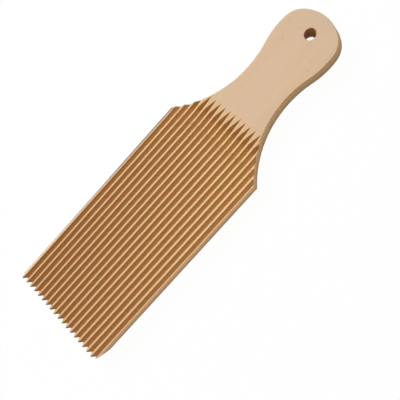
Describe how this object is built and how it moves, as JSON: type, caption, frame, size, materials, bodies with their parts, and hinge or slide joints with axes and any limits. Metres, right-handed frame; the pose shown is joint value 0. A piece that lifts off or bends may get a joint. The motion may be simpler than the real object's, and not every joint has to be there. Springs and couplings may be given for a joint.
{
  "type": "gnocchi board",
  "caption": "Wooden paddle for rolling ridged pasta: V grooves run off a bevelled tip, and a drawn-in handle ends in a rounded bulb with a hanging hole.",
  "frame": {"origin": "middle of the bounding box, on the flat back that the board lies on", "axes": "+Y along the board from the grooved tip to the hanging hole, +Z out of the grooved face, +X across the board"},
  "size_m": [0.065, 0.2094, 0.0075],
  "materials": {
    "beech": "fine-sanded bare wood with cutter-polished grooves"
  },
  "bodies": {
    "root": {"board": "beech"}
  },
  "joints": []
}
